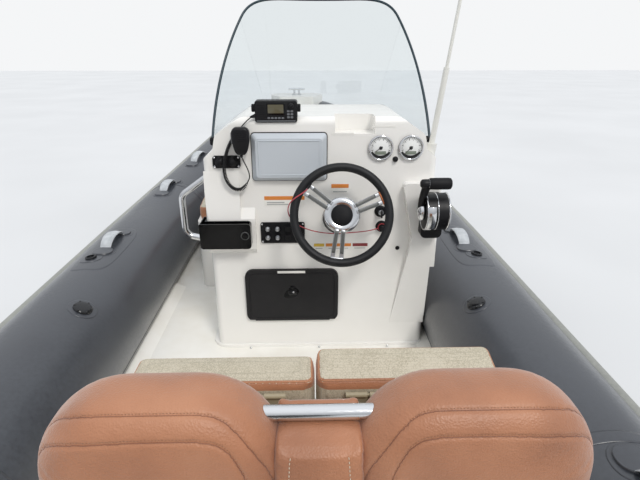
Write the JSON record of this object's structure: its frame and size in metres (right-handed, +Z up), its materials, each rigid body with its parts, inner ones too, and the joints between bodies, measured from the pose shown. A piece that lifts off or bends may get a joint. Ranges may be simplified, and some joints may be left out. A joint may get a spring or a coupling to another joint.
{
  "type": "rigid inflatable boat",
  "caption": "Rigid inflatable boat with deep-V hull, dark air tubes, offset helm console, double seat with flip-up bolsters and tilting outboard.",
  "frame": {"origin": "on the centre line at the waterline, below the aft face of the console", "axes": "+Y to the bow, +X to starboard, +Z up"},
  "size_m": [2.1034, 5.8646, 2.8113],
  "materials": {
    "gelcoat_white": "gloss gelcoat",
    "deck_nonskid": "non-skid gelcoat",
    "tube_fabric": "coated fabric",
    "strake_rubber": "moulded rubber",
    "handle_webbing": "woven strap",
    "valve_plastic": "moulded",
    "seat_vinyl": "upholstery vinyl",
    "seat_weave": "woven vinyl",
    "stainless": "polished stainless steel",
    "clear_acrylic": "clear sheet",
    "door_plastic": "fine texture",
    "black_plastic": "moulded",
    "black_gloss": "gloss",
    "cover_grey": "moulded",
    "gauge_face": "dial under lens",
    "rim_foam": "skinned foam",
    "antenna_white": "fibreglass",
    "cord_rubber": "moulded lead",
    "lanyard_red": "braided cord",
    "engine_paint": "gloss paint",
    "engine_metal": "painted casting"
  },
  "bodies": {
    "boat": {"hull": "gelcoat_white", "deck": "deck_nonskid", "transom": "gelcoat_white", "tube_port": "tube_fabric", "tube_starboard": "tube_fabric", "tube_bow": "tube_fabric", "rub_strake": "strake_rubber", "tube_handles": "handle_webbing", "tube_valves": "valve_plastic", "bow_locker": "gelcoat_white", "bow_cushion": "seat_weave", "fore_deck": "deck_nonskid", "bow_step": "gelcoat_white", "bow_cleat": "stainless", "bow_eye": "stainless", "stern_eyes": "stainless", "console": "gelcoat_white", "windshield": "clear_acrylic", "antenna": "antenna_white", "plotter_cover": "cover_grey", "gauges": "gauge_face", "vhf_radio": "black_plastic", "radio_mic": "black_plastic", "socket_plate": "black_plastic", "switch_panel": "black_plastic", "key_switches": "black_plastic", "side_pocket": "black_gloss", "grab_rail": "stainless", "helm_boss": "black_plastic", "throttle_housing": "stainless", "seat_base": "gelcoat_white", "seat_cushion": "seat_weave", "seat_back_port": "seat_vinyl", "seat_back_starboard": "seat_vinyl", "seat_centre": "seat_vinyl", "seat_bar": "stainless", "seat_hinges": "stainless", "engine_clamp": "engine_metal", "radio_lead": "cord_rubber", "mic_coil": "cord_rubber", "mic_lead": "cord_rubber", "kill_lanyard": "lanyard_red", "lanyard_hook": "black_plastic"},
    "door": {"hatch_door": "door_plastic"},
    "wheel": {"steering_wheel": "rim_foam"},
    "throttle": {"throttle_lever": "black_plastic"},
    "bolster_left": {"bolster_port": "seat_weave", "bolster_leaf_port": "stainless"},
    "bolster_right": {"bolster_starboard": "seat_weave", "bolster_leaf_starboard": "stainless"},
    "swivel": {"engine_swivel": "engine_metal"},
    "engine": {"engine_leg": "engine_metal", "engine_cowl": "engine_paint", "engine_block": "engine_metal"},
    "prop": {"propeller": "engine_metal"}
  },
  "joints": [
    {"name": "console_door", "type": "hinge", "parent": "boat", "child": "door", "pos_m": [0.031, -0.0073, 0.2965], "axis": [1, 0, 0], "range_deg": [0, 100]},
    {"name": "wheel_turn", "type": "hinge", "parent": "boat", "child": "wheel", "pos_m": [0.219, -0.165, 0.81], "axis": [0, 0.9397, -0.342], "range_deg": [-600, 600]},
    {"name": "throttle_swing", "type": "hinge", "parent": "boat", "child": "throttle", "pos_m": [0.511, -0.1, 0.8], "axis": [1, 0, 0], "range_deg": [-42, 42]},
    {"name": "bolster_left_flip", "type": "hinge", "parent": "boat", "child": "bolster_left", "pos_m": [-0.094, -0.903, 0.64], "axis": [1, 0, 0], "range_deg": [0, 90]},
    {"name": "bolster_right_flip", "type": "hinge", "parent": "boat", "child": "bolster_right", "pos_m": [0.328, -0.903, 0.64], "axis": [1, 0, 0], "range_deg": [0, 90]},
    {"name": "engine_tilt", "type": "hinge", "parent": "boat", "child": "swivel", "pos_m": [0, -2.215, 0.395], "axis": [-1, 0, 0], "range_deg": [0, 60]},
    {"name": "engine_steer", "type": "hinge", "parent": "swivel", "child": "engine", "pos_m": [0, -2.33, 0.3], "axis": [0, 0, 1], "range_deg": [-30, 30]},
    {"name": "propeller_spin", "type": "hinge", "parent": "engine", "child": "prop", "pos_m": [0, -2.58, -0.495], "axis": [0, 1, 0], "continuous": true}
  ],
  "couplings": [
    {"joint": "wheel_turn", "follows": "engine_steer", "ratio": 20}
  ]
}
